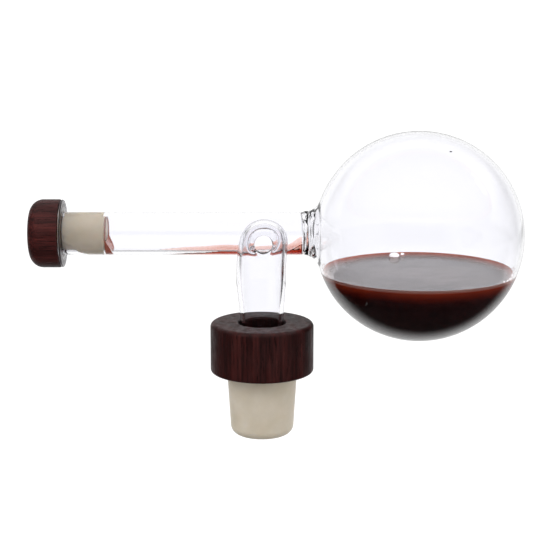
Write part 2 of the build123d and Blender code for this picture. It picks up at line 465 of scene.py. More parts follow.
def hollow_field(p):
    """The bore, the port's way and the stem's hollow, with rounded corners between them."""
    way = soft_union(port_distance(p), tube_distance(p, TUBE_BORE), 1.1)
    return soft_union(way, stem_distance(p, STEM_WALL), 1.3)


def settle_on(field, p, rounds=4):
    """Moves points along the field's slope until the field is 0: p - f * slope / |slope|^2."""
    tiny = 0.01
    for _ in range(rounds):
        value = field(p)
        slope = [(field(p + tiny * axis) - field(p - tiny * axis)) / (2 * tiny) for axis in np.eye(3)]
        slope = np.stack(slope, -1)
        size = np.maximum((slope**2).sum(-1), 0.05)
        p = p - np.clip(value / size, -0.6, 0.6)[:, None] * slope
    return p


def join(target, tool, operation):
    """One Boolean of two closed skins, applied; the tool is used up."""
    step = target.modifiers.new("join", "BOOLEAN")
    step.solver = "MANIFOLD"
    step.operation = operation
    step.object = tool
    graph = bpy.context.evaluated_depsgraph_get()
    mesh = bpy.data.meshes.new_from_object(target.evaluated_get(graph))
    target.modifiers.clear()
    old = target.data
    target.data = mesh
    mesh.materials.clear()
    bpy.data.meshes.remove(old)
    tool_mesh = tool.data
    bpy.data.objects.remove(tool)
    bpy.data.meshes.remove(tool_mesh)


def near_port(edge):
    """Whether an edge's middle is at the junction of stem and side tube."""
    middle = (edge.verts[0].co + edge.verts[1].co) / (2 * MM)
    return abs(middle.x - PORT_X) < 9 and middle.y > 1.0 and abs(middle.z - PORT_Z) < 10


def weld_and_refine(piece):
    """Merges doubles and splits the long edges near the port, so that its fillets have points."""
    with opened(piece.data) as work:
        bmesh.ops.remove_doubles(work, verts=work.verts, dist=DOUBLES)
        bmesh.ops.dissolve_degenerate(work, edges=work.edges, dist=DOUBLES)
        for longest in (1.1, 0.7):
            edges = [e for e in work.edges if e.calc_length() > longest * MM and near_port(e)]
            bmesh.ops.subdivide_edges(work, edges=edges, cuts=1, use_grid_fill=False)
            bmesh.ops.triangulate(work, faces=[f for f in work.faces if len(f.verts) > 4])


def round_the_junction(piece):
    """Settles the points near the port on the two rounded fields, which fills the sharp corners."""
    p = places(piece.data.vertices)
    near = (np.abs(p[:, 0] - PORT_X) < 9.5) & (p[:, 1] > -1.0) & (np.abs(p[:, 2] - PORT_Z) < 11)
    picked = np.flatnonzero(near)
    q = p[picked]
    to_outside, to_hollow = np.abs(outside_field(q)), np.abs(hollow_field(q))
    outer = to_outside < to_hollow
    moved = np.where(outer[:, None], settle_on(outside_field, q), settle_on(hollow_field, q))
    step = np.linalg.norm(moved - q, axis=1)
    fade = (1 - smoothstep(np.abs(q[:, 0] - PORT_X), 7.5, 9.3)) * (step < 1.5)
    p[picked] = q + (moved - q) * fade[:, None]
    move_points(piece, p)


def stone(centre, half_sizes):
    """An unmelted grain held inside the wall: an egg shape, longer one way."""
    turn = np.linspace(0, np.pi, 9)[1:-1][:, None]
    angle = around_angles(14)[None, :]
    ball = grid(np.sin(turn) * np.cos(angle), np.sin(turn) * np.sin(angle), np.cos(turn))
    pole = np.array([0, 0, half_sizes[2]])
    points = centre + ball * half_sizes
    return new_piece("stone_in_glass", *closed_tube(points, centre + pole, centre - pole))


def wall_middle(x, z):
    """The point in the middle of the bulb's front wall at that x and z."""
    depth = math.sqrt(WALL_MIDDLE**2 - (x - BULB_X) ** 2 - (z - BULB_Z) ** 2)
    return np.array([x, TUBE_Y - depth, z])


def fused_glass():
    """Outer skins joined, then the hollows cut out of them, and the port's corners rounded."""
    glass = new_piece("fused_glass", *vessel_outside())
    join(glass, new_piece("stem_outside", *stem_skin(0, 0, STEM_END)), "UNION")
    hollow = new_piece("hollow", *vessel_inside())
    stem_hollow = stem_skin(STEM_WALL, TAIL_WALL, STEM_END - 1, opening=0.4)
    join(hollow, new_piece("stem_hollow", *stem_hollow), "UNION")
    join(hollow, new_piece("port_way", *port_skin()), "UNION")
    join(glass, hollow, "DIFFERENCE")
    weld_and_refine(glass)
    round_the_junction(glass)
    shade_smooth(glass.data)
    return glass


# ---------------- wine


def wine_pool():
    """Turned about the bulb's upright axis: up along the wall, then in along the free surface.

    The free surface's height is level + rise * exp(-d / reach), d being the distance from the wall.
    """
    inner = BULB_INSIDE - WINE_GAP
    contact = WINE_CONTACT - BULB_Z
    rim_radius = math.sqrt(inner**2 - contact**2)
    latitude = np.linspace(-np.pi / 2, math.asin(contact / inner), 64)[1:]
    wall = np.stack([inner * np.cos(latitude), BULB_Z + inner * np.sin(latitude)], -1)
    inward = np.concatenate([np.linspace(0.12, 6.0, 34), np.linspace(6.8, rim_radius - 0.8, 22)])
    height = WINE_LEVEL + WINE_RISE * np.exp(-inward / 1.5)
    surface = np.stack([rim_radius - inward, height], -1)
    profile = np.concatenate([wall, surface])
    angle = around_angles(160)[None, :]
    radius = profile[:, :1]
    x = BULB_X + radius * np.cos(angle)
    y = TUBE_Y + radius * np.sin(angle)
    points = grid(x, y, profile[:, 1:])
    on_wall = np.ones((len(profile), 1))
    on_wall[len(wall):, 0] = np.exp(-inward)
    points = follow_wall(points, on_wall)
    foot = (BULB_X, TUBE_Y, BULB_Z - inner)
    pool = new_piece("wine_pool", *closed_tube(points, foot, (BULB_X, TUBE_Y, WINE_LEVEL)))
    free = np.zeros(points.shape[:2])
    free[len(wall):] = 1.0
    mark_points(pool, "free_surface", np.concatenate([free.ravel(), [0.0, 1.0]]))
    below = WINE_CONTACT - points[..., 2]
    murk = smoothstep(below, -0.25, 1.0) * (1 - free)
    murk[len(wall):] = 0.9 * np.exp(-((inward / 2.0) ** 2))[:, None]
    # Painted shade: 0 at the wine's edge on the wall and 1 seven millimetres below it; the wine's colour
    # darkens with it, standing in for light from above that fades as it goes down.
    painted_shade_depth = smoothstep(below, 0.0, 7.0) ** 0.6
    mark_points(pool, "murk", np.concatenate([murk.ravel(), [1.0, 0.0]]))
    mark_points(pool, "painted_shade_depth", np.concatenate([painted_shade_depth.ravel(), [1.0, 0.0]]))
    return pool


def puddle(name, stations, depths, hollow):
    """Wine on the bore's floor: at each x, a circle segment of the given depth with a hollow top."""
    bore = TUBE_BORE - WINE_GAP
    x = stations[:, None]
    depth = np.maximum(depths, 0.012)[:, None]
    hollow = hollow[:, None]
    half = np.arccos(1 - depth / bore)
    across = np.linspace(-1, 1, 25)[None, :]
    floor_y = bore * np.sin(half * across)
    floor_z = -bore * np.cos(half * across)
    back = across[:, -2:0:-1]
    width = bore * np.sin(half)
    top_y = width * back
    top_z = -bore * np.cos(half) - hollow * depth * (1 - back**4)
    y = TUBE_Y + np.concatenate([floor_y, top_y], 1)
    z = TUBE_Z + np.concatenate([floor_z, top_z], 1)
    points = grid(x, y, z)
    start = (stations[0] - 0.05, TUBE_Y, TUBE_Z - bore + 0.006)
    end = (stations[-1] + 0.05, TUBE_Y, TUBE_Z - bore * math.cos(half[-1, 0]) - 0.3 * depth[-1, 0])
    piece = new_piece(name, *closed_tube(points, start, end))
    free = np.zeros(points.shape[:2])
    free[:, 25:] = 1.0
    mark_points(piece, "free_surface", np.concatenate([free.ravel(), [0.0, 0.0]]))
    return piece


def residue_depth(x):
    """Depth along the tube's floor: a film that starts near the middle and swells at the neck."""
    waves = 0.10 * np.sin(x / 2.3) * smoothstep(x, -28, -20)
    film = 0.85 * smoothstep(x, residue_low[0] - 1, -12.0) + waves
    held = 2.6 * smoothstep(x, 6.5, NECK_START) ** 1.4
    return np.where((x > residue_low[0]) & (x < NECK_START - 0.15), film + held, 0.0)


def drop_depth(x):
    """Depth of the drop that clings to the end plug's tip and thins out along the floor."""
    part = np.clip((x - drop_low[0]) / (drop_high[0] - drop_low[0]), 0, 1)
    depth = 4.4 * (1 - part) ** 0.95
    return np.where((x > drop_low[0] - 0.05) & (part < 1), depth, 0.0)


def tube_residue():
    """The film: a shallow hollow top, that grows deeper where the neck holds more wine."""
    x = np.linspace(residue_low[0] + 0.05, NECK_START - 0.2, 130)
    depth = residue_depth(x)
    return puddle("wine_film_in_tube", x, depth, 0.18 + 0.42 * smoothstep(depth, 1.0, 2.4))


def plug_residue():
    """The drop: it climbs both walls beside the plug's tip and lies thin between them."""
    x = np.linspace(drop_low[0], drop_high[0] - 0.02, 44)
    return puddle("wine_drop_at_plug", x, drop_depth(x), np.full(len(x), 0.35))


def wet_ring():
    """Wine held all round the end plug's tip: a thin ring with a hollow three-sided section."""
    section = np.array([(0.03, 0.0), (0.50, 0.0), (0.20, -0.10), (0.08, -0.24), (0.03, -0.45)])
    angle = around_angles(120)[:, None]
    x = END_PLUG_TIP + section[None, :, 0]
    radius = TUBE_BORE - 0.03 + section[None, :, 1] * (1 + 0.35 * np.sin(angle + 4.2))
    cloud = about_tube(x, radius, angle).reshape(-1, 3)
    faces = ring_faces(len(angle), len(section), closed=True)
    piece = new_piece("plug_wet_ring", cloud, faces.tolist())
    mark_points(piece, "free_surface", np.ones(len(cloud)))
    mark_points(piece, "murk", 0.85 - 0.55 * smoothstep(cloud[:, 2], TUBE_Z - 3.5, TUBE_Z))
    return piece


def surface_bubble(name, x, radius, squash):
    """A thin closed film, a flattened dome afloat beside the far wall, with its air inside.

    The film's outside goes from its top down past its middle, and its inside back up.
    """
    from_middle = math.hypot(x - BULB_X, WINE_LEVEL - BULB_Z)
    wall_y = TUBE_Y + math.sqrt(BULB_INSIDE**2 - from_middle**2)
    centre = np.array([x, wall_y - radius - 0.15, WINE_CONTACT - 0.45 - 0.1 * radius])
    inner = radius - 0.07
    turn = np.linspace(-0.25, np.pi / 2, 20)[:-1]
    size = np.repeat([radius, inner], len(turn))[:, None]
    turn = np.concatenate([turn[::-1], turn])[:, None]
    angle = around_angles(40)[None, :]
    across = size * np.cos(turn)
    height = squash * size * np.sin(turn)
    rings = centre + grid(across * np.cos(angle), across * np.sin(angle), height)
    top = centre + (0, 0, squash * radius)
    roof = centre + (0, 0, squash * inner)
    return new_piece(name, *closed_tube(rings, top, roof))


def edge_foam():
    """Tiny bubbles along the pool's edge at the front right: balls, each a grid of turn and angle.

    Each ball's place along the edge, its size and its height follow sines of its number.
    """
    count = 26
    number = np.arange(count)[:, None, None]
    along = -0.62 + 0.44 * number / count + 0.03 * np.sin(5.1 * number)
    size = 0.20 + 0.09 * np.sin(3.7 * number + 1.0)
    height = WINE_CONTACT - 0.15 + 0.35 * np.sin(2.3 * number + 0.5) - BULB_Z
    reach = np.sqrt((BULB_INSIDE - size - 0.12) ** 2 - height**2)
    turn = np.linspace(0, np.pi, 9)[None, :, None]
    angle = around_angles(12)[None, None, :]
    x = BULB_X + reach * np.cos(along) + size * np.sin(turn) * np.cos(angle)
    y = TUBE_Y + reach * np.sin(along) + size * np.sin(turn) * np.sin(angle)
    rings = grid(x, y, BULB_Z + height + size * np.cos(turn))
    one = ring_faces(9, 12)
    faces = one[None] + (np.arange(count) * rings.shape[1] * rings.shape[2])[:, None, None]
    foam = new_piece("edge_foam", rings.reshape(-1, 3), faces.reshape(-1, 4).tolist())
    with opened(foam.data) as work:
        bmesh.ops.remove_doubles(work, verts=work.verts, dist=DOUBLES / 10)
    return foam


def cut_at_wine_edge(glass):
    """Splits the inner wall's faces along the level circle where the wine's edge meets it."""
    centre = Vector(BULB_CENTRE * MM)
    reach = WALL_MIDDLE * MM
    start = (NECK_START + 6) * MM
    level = (0, 0, WINE_CONTACT * MM)

    def inside(face):
        """Whether the face is on the bulb's inner wall."""
        middle = face.calc_center_median()
        return (middle - centre).length < reach and middle.x > start

    with opened(glass.data) as work:
        faces = [f for f in work.faces if inside(f)]
        edges = {e for f in faces for e in f.edges}
        corners = {v for f in faces for v in f.verts}
        wall = faces + list(edges) + list(corners)
        bmesh.ops.bisect_plane(work, geom=wall, dist=1e-7, plane_co=level, plane_no=(0, 0, 1))


def mark_wetted_wall(glass):
    """Gives the inner wall the wetted finish below the wine's edge and under the films."""
    middles = places(glass.data.polygons, "center")
    x, y, z = middles.T
    in_bulb = np.linalg.norm(middles - BULB_CENTRE, axis=1) < WALL_MIDDLE
    under_pool = in_bulb & (z < WINE_CONTACT) & (x > NECK_START + 6)
    in_bore = (np.abs(np.hypot(y - TUBE_Y, z - TUBE_Z) - TUBE_BORE) < 0.12) & (x < NECK_START)
    from_floor = np.arctan2(np.abs(y - TUBE_Y), TUBE_Z - z)
    depth = np.maximum(residue_depth(x), drop_depth(x))
    under_film = (depth > 0) & (from_floor < np.arccos(np.clip(1 - depth / TUBE_BORE, -1, 1)))
    wet = under_pool | (in_bore & under_film)
    glass.data.polygons.foreach_set("material_index", wet.astype(np.int32))


# ---------------- wood and silicone


def turned(name, profile, around):
    """A profile (x, radius), from pole to pole, turned about the side tube's axis."""
    angle = around_angles(around)[None, :]
    along, radius = profile[1:-1, :1], profile[1:-1, 1:]
    points = about_tube(along, radius, angle)
    start, end = profile[0, 0], profile[-1, 0]
    return new_piece(name, *closed_tube(points, (start, TUBE_Y, TUBE_Z), (end, TUBE_Y, TUBE_Z)))


def turned_ring(name, profile, around):
    """A closed profile loop (height, radius) turned about Z, for a piece with a hole through it."""
    angle = around_angles(around)[:, None]
    radius, height = profile[None, :, 1], profile[None, :, 0]
    points = grid(radius * np.cos(angle), radius * np.sin(angle), height)
    faces = ring_faces(around, len(profile), closed=True)
    return new_piece(name, points.reshape(-1, 3), faces.tolist())


def wood_collar():
    """The ring's section: a rounded outside, a broken edge at the bore and the plug's seat below."""
    top, radius, bore = COLLAR_TOP, COLLAR_RADIUS, COLLAR_BORE
    over, under, broken = COLLAR_TOP_ROUND, COLLAR_UNDER_ROUND, COLLAR_BORE_ROUND
    section = np.concatenate([
        arc((top - over, radius - over), over, 90, 0, 12),
        straight((top, radius - over), (top, bore + broken), 14),
        arc((top - broken, bore + broken), broken, 0, -90, 8),
        straight((top - broken, bore), (SEAT_TOP, bore), 10),
        [(SEAT_TOP, bore), (SEAT_TOP, SEAT_RADIUS - GLUE_GAP), (SEAT_TOP, SEAT_RADIUS)],
        straight((SEAT_TOP, SEAT_RADIUS), (0.0, SEAT_RADIUS), 6),
        [(0.0, SEAT_RADIUS)],
        straight((0.0, SEAT_RADIUS), (0.0, radius - under), 10),
        arc((under, radius - under), under, 180, 90, 10),
        straight((under, radius), (top - over, radius), 16),
    ])
    return turned_ring("wood_collar_ring", section, 160)


def bottle_plug():
    """The plug's section: a taper, a round end, the bore for the tail and the spigot on top."""
    top, end, bore = SPIGOT_TOP, PLUG_END, TAIL_RADIUS + TURNING_GAP
    spigot = SEAT_RADIUS - GLUE_GAP
    shoulder, wide = -0.02, PLUG_TOP_RADIUS
    narrow = PLUG_END_RADIUS + PLUG_SWELL
    end_round, mouth_round = PLUG_END_ROUND, 0.35
    section = np.concatenate([
        [(top, bore + 0.1), (top, spigot - 0.15), (top - 0.15, spigot)],
        straight((top - 0.15, spigot), (shoulder, spigot), 6),
        [(shoulder, spigot), (shoulder, spigot + 0.25), (shoulder, wide - 0.5)],
        [(shoulder, wide - 0.45), (-0.14, wide - 0.16), (-0.45, wide - 0.03)],
        straight((-0.45, wide - 0.03), (end + end_round, narrow), 24),
        arc((end + end_round, narrow - end_round), end_round, 90, 180, 18),
        straight((end, narrow - end_round), (end, bore + mouth_round), 4),
        arc((end + mouth_round, bore + mouth_round), mouth_round, 180, 270, 6),
        straight((end + mouth_round, bore), (top - 0.1, bore), 20),
        [(top - 0.1, bore)],
    ])
    return turned_ring("silicone_bottle_plug", section, 128)


def end_cap():
    """The cap's outline: shallow crown, well rounded edge, flat face and the spigot's socket."""
    crown, edge, broken = CAP_CROWN, CAP_EDGE_ROUND, CAP_FACE_ROUND
    crown_centre = CAP_FAR + crown
    edge_out = CAP_RADIUS - edge
    edge_along = crown_centre - math.sqrt((crown - edge) ** 2 - edge_out**2)
    meet = math.degrees(math.atan2(edge_out, crown_centre - edge_along))
    face, socket, floor = LIP_FACE + PRESS, SOCKET_RADIUS, CAP_FACE - SOCKET_DEPTH
    outline = np.concatenate([
        [(CAP_FAR, 0)],
        arc((crown_centre, 0), crown, 180 - 0.8, 180 - meet, 16),
        arc((edge_along, edge_out), edge, 180 - meet, 90, 18)[1:],
        straight((edge_along, CAP_RADIUS), (CAP_FACE - broken, CAP_RADIUS), 10),
        arc((CAP_FACE - broken, CAP_RADIUS - broken), broken, 90, 0, 7),
        [(LIP_FACE - 0.03, 9.15), (face, 9.0), (face, 8.7)],
        straight((face, 8.7), (face, socket), 8),
        [(face, socket), (floor, socket), (floor, socket / 2), (floor, 0)],
    ])
    return turned("wood_end_cap", outline, 128)


def end_plug():
    """The small plug's outline: its spigot in the cap, the length in the bore and a rounded tip.

    It is pressed against the bore, except under a dent, low beside the cap: the radius there is less
    by 0.22 times a smooth step of the distance past a wavy edge.
    """
    radius, tip, edge = TUBE_BORE + PRESS, END_PLUG_TIP, END_PLUG_ROUND
    spigot, thin = CAP_FACE - SOCKET_DEPTH + GLUE_GAP, SOCKET_RADIUS - GLUE_GAP
    shoulder = LIP_FACE + 0.06
    outline = np.concatenate([
        [(spigot, 0), (spigot, thin / 2), (spigot, thin - 0.15), (spigot + 0.15, thin)],
        straight((spigot + 0.15, thin), (CAP_FACE + 0.02, thin), 5),
        [(shoulder, thin), (shoulder, radius - 0.1), (shoulder + 0.1, radius)],
        straight((shoulder + 0.1, radius), (tip - edge, radius), 44),
        arc((tip - edge, radius - edge), edge, 90, 0, 9),
        straight((tip, radius - edge), (tip, 0.5), 5),
        [(tip, 0)],
    ])
    piece = turned("silicone_end_plug", outline, 112)
    x, y, z = places(piece.data.vertices).T
    across, up = y - TUBE_Y, z - TUBE_Z
    out = np.hypot(across, up)
    from_floor = np.arctan2(np.abs(across), -up)
    dry_edge = LIP_FACE + 7.8 - 5.0 * from_floor + 0.5 * np.sin(9 * from_floor)
    dent = 0.22 * smoothstep(dry_edge - x, -1.2, 1.2) * (out > radius - 0.2) * (x > LIP_FACE)
    scale = (out - dent) / np.maximum(out, 0.1)
    move_points(piece, np.stack([x, TUBE_Y + across * scale, TUBE_Z + up * scale], -1))
    return piece


# ---------------- finishes


def feed(node, inputs):
    """Links each named socket to another node's output, or sets the socket's own value."""
    for key, value in inputs.items():
        socket = node.inputs[key]
        if isinstance(value, bpy.types.NodeSocket):
            socket.id_data.links.new(value, socket)
        else:
            socket.default_value = value


def add_node(tree, kind, inputs=None, **settings):
    """A shader node of that kind, with its properties set and its sockets fed."""
    node = tree.nodes.new("ShaderNode" + kind)
    for key, value in settings.items():
        setattr(node, key, value)
    feed(node, inputs or {})
    return node


def reckon(tree, operation, *values):
    """One step of arithmetic on outputs or numbers."""
    return add_node(tree, "Math", dict(enumerate(values)), operation=operation).outputs["Value"]


def distance(tree, one, other):
    """How far one place is from another, in metres."""
    return add_node(tree, "VectorMath", {0: one, 1: other}, operation="DISTANCE").outputs["Value"]


def spread(tree, value, from_range, to_range, easing="LINEAR"):
    """The value's from_range stretched onto to_range, and held at both ends."""
    names = ("From Min", "From Max", "To Min", "To Max")
    inputs = {"Value": value, **dict(zip(names, (*from_range, *to_range)))}
    return add_node(tree, "MapRange", inputs, interpolation_type=easing).outputs["Result"]


def ease(tree, value, from_range, to_range):
    """The same with a soft start and end: 3t^2 - 2t^3."""
    return spread(tree, value, from_range, to_range, "SMOOTHSTEP")


def noise(tree, place, **settings):
    """Cloudy noise at a place, with the noise's own scale, detail, roughness and distortion."""
    inputs = {key.title(): value for key, value in settings.items()}
    return add_node(tree, "TexNoise", {"Vector": place, **inputs}).outputs["Fac"]


def ramp(tree, level, stops):
    """The colour at a level between (position, colour) stops."""
    node = add_node(tree, "ValToRGB", {"Fac": level})
    elements = node.color_ramp.elements
    while len(elements) < len(stops):
        elements.new(0.5)
    for element, (position, colour) in zip(elements, stops):
        element.position = position
        element.color = (*colour, 1)
    return node.outputs["Color"]


def blend(tree, factor, one, other, way="MIX"):
    """Two colours mixed or multiplied by a factor."""
    inputs = {"Factor": factor, "A": one, "B": other}
    return add_node(tree, "Mix", inputs, data_type="RGBA", blend_type=way).outputs["Result"]


def switch(tree, when, otherwise, then):
    """One number where when is 0, and the other where it is 1."""
    inputs = {"Factor": when, "A": otherwise, "B": then}
    return add_node(tree, "Mix", inputs, data_type="FLOAT").outputs["Result"]


def relief(tree, height, strength, depth):
    """The surface's direction over a fine relief of that height."""
    inputs = {"Height": height, "Strength": strength, "Distance": depth}
    return add_node(tree, "Bump", inputs).outputs["Normal"]


def place_on_piece(tree):
    """The place in the object's own metres, which is the shared frame."""
    return add_node(tree, "TexCoord").outputs["Object"]


def edge_on(tree):
    """0 where the surface is seen square on, 1 where it is seen edge on."""
    return add_node(tree, "LayerWeight", {"Blend": 0.5}).outputs["Facing"]


def new_finish(name):
    """A node material: (material, its tree, its Principled shader)."""
    material = bpy.data.materials.new(name)
    material.use_nodes = True
    return material, material.node_tree, material.node_tree.nodes["Principled BSDF"]


def finish(piece, *materials):
    """Gives a piece its materials, in the order of its faces' numbers."""
    for material in materials:
        piece.data.materials.append(material)


def clear_glass():
    """Clear blown glass: nearly colourless, greyer where the wall is seen edge on.

    The lip is slightly matt and grey, and the stem's edges carry painted shade: darker than the other
    tubes', for the dark room seen in them.
    """
    material, tree, shader = new_finish("clear_blown_glass")
    where = place_on_piece(tree)
    x, _, z = add_node(tree, "SeparateXYZ", {"Vector": where}).outputs
    edge = edge_on(tree)
    tint = ramp(tree, edge, [
        (0.0, (0.96, 0.96, 0.988)),
        (0.45, (0.966, 0.966, 0.99)),
        (0.7, (0.975, 0.975, 0.99)),
        (0.84, (0.9, 0.9, 0.91)),
        (0.97, (0.55, 0.55, 0.57)),
    ])
    smears = spread(tree, noise(tree, where, scale=90.0, detail=4.0), (0.55, 0.8), (0.0, 0.035))
    tube_axis = add_node(tree, "CombineXYZ", {"X": x, "Y": TUBE_Y * MM, "Z": TUBE_Z * MM})
    from_tube = distance(tree, where, tube_axis.outputs["Vector"])
    rim = ease(tree, from_tube, (7.2 * MM, 8.6 * MM), (0.0, 0.3))
    near_mouth = reckon(tree, "LESS_THAN", x, (LIP_FACE + 4.0) * MM)
    matt_lip = reckon(tree, "MULTIPLY", rim, near_mouth)
    stem_axis = add_node(tree, "CombineXYZ", {"Z": z})
    from_stem = distance(tree, where, stem_axis.outputs["Vector"])
    on_stem = reckon(tree, "LESS_THAN", from_stem, (STEM_RADIUS + 0.8) * MM)
    # Painted shade: the stem's edges are darkened in the glass's colour, standing in for the dark room
    # that they reflect; the lip's matt grey joins the same darkening.
    stem_edge_painted_shade = reckon(tree, "MULTIPLY", ease(tree, edge, (0.6, 0.82), (0.0, 0.85)), on_stem)
    grey = reckon(tree, "MULTIPLY_ADD", matt_lip, 2.6, stem_edge_painted_shade)
    feed(shader, {
        "Base Color": blend(tree, grey, tint, (0.5, 0.47, 0.51, 1), "MULTIPLY"),
        "Roughness": reckon(tree, "ADD", smears, matt_lip),
        "Transmission Weight": 1.0,
        "IOR": GLASS_INDEX,
    })
    return material


def wetted_glass():
    """The inner wall where wine touches it: no step of its own, because the wine's side has it."""
    material, _, shader = new_finish("wetted_glass_wall")
    feed(shader, {"Base Color": (1, 1, 1, 1), "Roughness": 0.0, "Transmission Weight": 1.0, "IOR": 1.0})
    return material


def red_wine():
    """Dark red wine: clear in thin films, cloudy near its edge, with painted light, brown-red just under
    the edge, and painted shade, nearly black, in depth.

    Its free surface meets air, and its side meets glass, so the step in index differs.
    """
    material, tree, shader = new_finish("dark_red_wine")
    where = place_on_piece(tree)
    free_surface, murk, painted_shade_depth = (
        add_node(tree, "Attribute", attribute_name=name).outputs["Fac"]
        for name in ("free_surface", "murk", "painted_shade_depth")
    )
    swirls = noise(tree, where, scale=85.0, detail=4.0, distortion=2.6)
    skin = spread(tree, swirls, (0.4, 0.62), (0.08, 0.17))
    cloud = reckon(tree, "MULTIPLY_ADD", free_surface, skin, murk)
    drift = noise(tree, where, scale=55.0, detail=4.0, distortion=1.2)
    sway = reckon(tree, "MULTIPLY_ADD", drift, 0.22, -0.11)
    # Painted light and shade: bright brown-red just under the edge, where light from above would scatter
    # in, fading to near black deeper down.
    glow = ramp(tree, reckon(tree, "ADD", painted_shade_depth, sway), [
        (0.0, (0.55, 0.105, 0.045)),
        (0.2, (0.25, 0.028, 0.01)),
        (0.5, (0.125, 0.012, 0.0055)),
        (0.78, (0.034, 0.005, 0.0042)),
        (1.0, (0.018, 0.0034, 0.0035)),
    ])
    feed(shader, {
        "Base Color": blend(tree, murk, (1.0, 0.76, 0.7, 1), glow),
        "Roughness": 0.0,
        "Transmission Weight": spread(tree, cloud, (0.0, 1.0), (1.0, 0.04)),
        "IOR": spread(tree, free_surface, (0.0, 1.0), (WINE_INDEX / GLASS_INDEX, WINE_INDEX)),
    })
    depth = add_node(tree, "VolumeAbsorption", {"Color": (0.78, 0.296, 0.111, 1), "Density": 1000.0})
    feed(tree.nodes["Material Output"], {"Volume": depth.outputs["Volume"]})
    return material


def bubble_film_painted_highlight():
    """A bubble's film: pale foam, half clear, darker where it is seen edge on, and glowing in its own
    colour as a painted highlight.
    """
    material, tree, shader = new_finish("bubble_film_painted_highlight")
    stops = [(0.0, (1.0, 0.98, 0.98)), (0.45, (0.95, 0.92, 0.92)), (0.8, (0.22, 0.15, 0.16))]
    tint = ramp(tree, edge_on(tree), stops)
    feed(shader, {
        "Base Color": tint,
        "Roughness": 0.12,
        "IOR": 1.34,
        "Transmission Weight": 0.1,
        # Painted highlight: the film glows, brightest where it is seen square on.
        "Emission Color": tint,
        "Emission Strength": 0.55,
    })
    return material


def dark_stone():
    """A dark grey mineral grain."""
    material, tree, shader = new_finish("dark_stone")
    flecks = noise(tree, place_on_piece(tree), scale=4000.0)
    tone = ramp(tree, flecks, [(0.3, (0.006, 0.006, 0.008)), (0.7, (0.03, 0.03, 0.035))])
    feed(shader, {"Base Color": tone, "Roughness": 0.6})
    return material


def rosewood(name, grain_turn, centre, depth):
    """Dark rosewood under satin oil, its grain along the piece's axis, with fine open pores."""
    material, tree, shader = new_finish(name)
    inputs = {"Vector": place_on_piece(tree), "Location": centre, "Rotation": grain_turn}
    grain = add_node(tree, "Mapping", inputs, vector_type="TEXTURE").outputs["Vector"]

    def stretched(scale):
        """The place with its three directions scaled, so that a pattern runs along the grain."""
        return add_node(tree, "Mapping", {"Vector": grain, "Scale": scale}).outputs["Vector"]

    streaks = noise(tree, stretched((1, 1, 0.05)), scale=1300.0, detail=7.0, roughness=0.66)
    inputs = {"Vector": stretched((1, 0.55, 0.12)), "Scale": 60.0, "Distortion": 9.0}
    inputs.update({"Detail": 3.0, "Detail Scale": 1.5})
    bands = add_node(tree, "TexWave", inputs, wave_type="BANDS", bands_direction="X").outputs["Fac"]
    tones = [
        (0.3, (0.014, 0.003, 0.0028)),
        (0.48, (0.036, 0.0052, 0.0046)),
        (0.66, (0.062, 0.0085, 0.0075)),
        (0.86, (0.105, 0.019, 0.0145)),
    ]
    figure = reckon(tree, "MULTIPLY_ADD", bands, 0.16, streaks)
    tone = ramp(tree, figure, deepened(tones, depth))
    pores = noise(tree, stretched((1, 1, 0.055)), scale=3400.0, detail=2.0, roughness=0.5)
    open_pore = spread(tree, pores, (0.6, 0.68), (0.0, 1.0))
    patches = noise(tree, stretched((1, 1, 0.5)), scale=520.0, detail=5.0, roughness=0.6)
    height = reckon(tree, "MULTIPLY_ADD", open_pore, -1.2, streaks)
    feed(shader, {
        "Base Color": blend(tree, open_pore, tone, (0.35, 0.3, 0.3, 1), "MULTIPLY"),
        "Roughness": spread(tree, patches, (0.3, 0.75), (0.36, 0.66)),
        "Specular IOR Level": 0.3,
        "Normal": relief(tree, height, 0.5, 0.00014),
    })
    return material


def deepened(tones, level):
    """The same colour stops, each colour multiplied by a level."""
    return [(position, tuple(level * part for part in colour)) for position, colour in tones]


def milky_silicone(name, painted_light_level):
    """Translucent beige silicone: soft light through it, faint clouding, moulded satin skin; the second
    argument scales the colour up as painted light.
    """
    material, tree, shader = new_finish(name)
    where = place_on_piece(tree)
    clouds = noise(tree, where, scale=140.0, detail=4.0, roughness=0.55)
    tones = [(0.25, (0.5, 0.44, 0.345)), (0.55, (0.56, 0.5, 0.41)), (0.85, (0.62, 0.57, 0.49))]
    skin = noise(tree, where, scale=1800.0, detail=3.0)
    feed(shader, {
        "Base Color": ramp(tree, clouds, deepened(tones, painted_light_level)),
        "Roughness": spread(tree, skin, (0.0, 1.0), (0.36, 0.5)),
        "IOR": 1.41,
        "Normal": relief(tree, skin, 0.12, 0.00008),
        "Subsurface Weight": 0.55,
        "Subsurface Radius": (1.0, 0.8, 0.6),
        "Subsurface Scale": 0.004,
    })
    return material


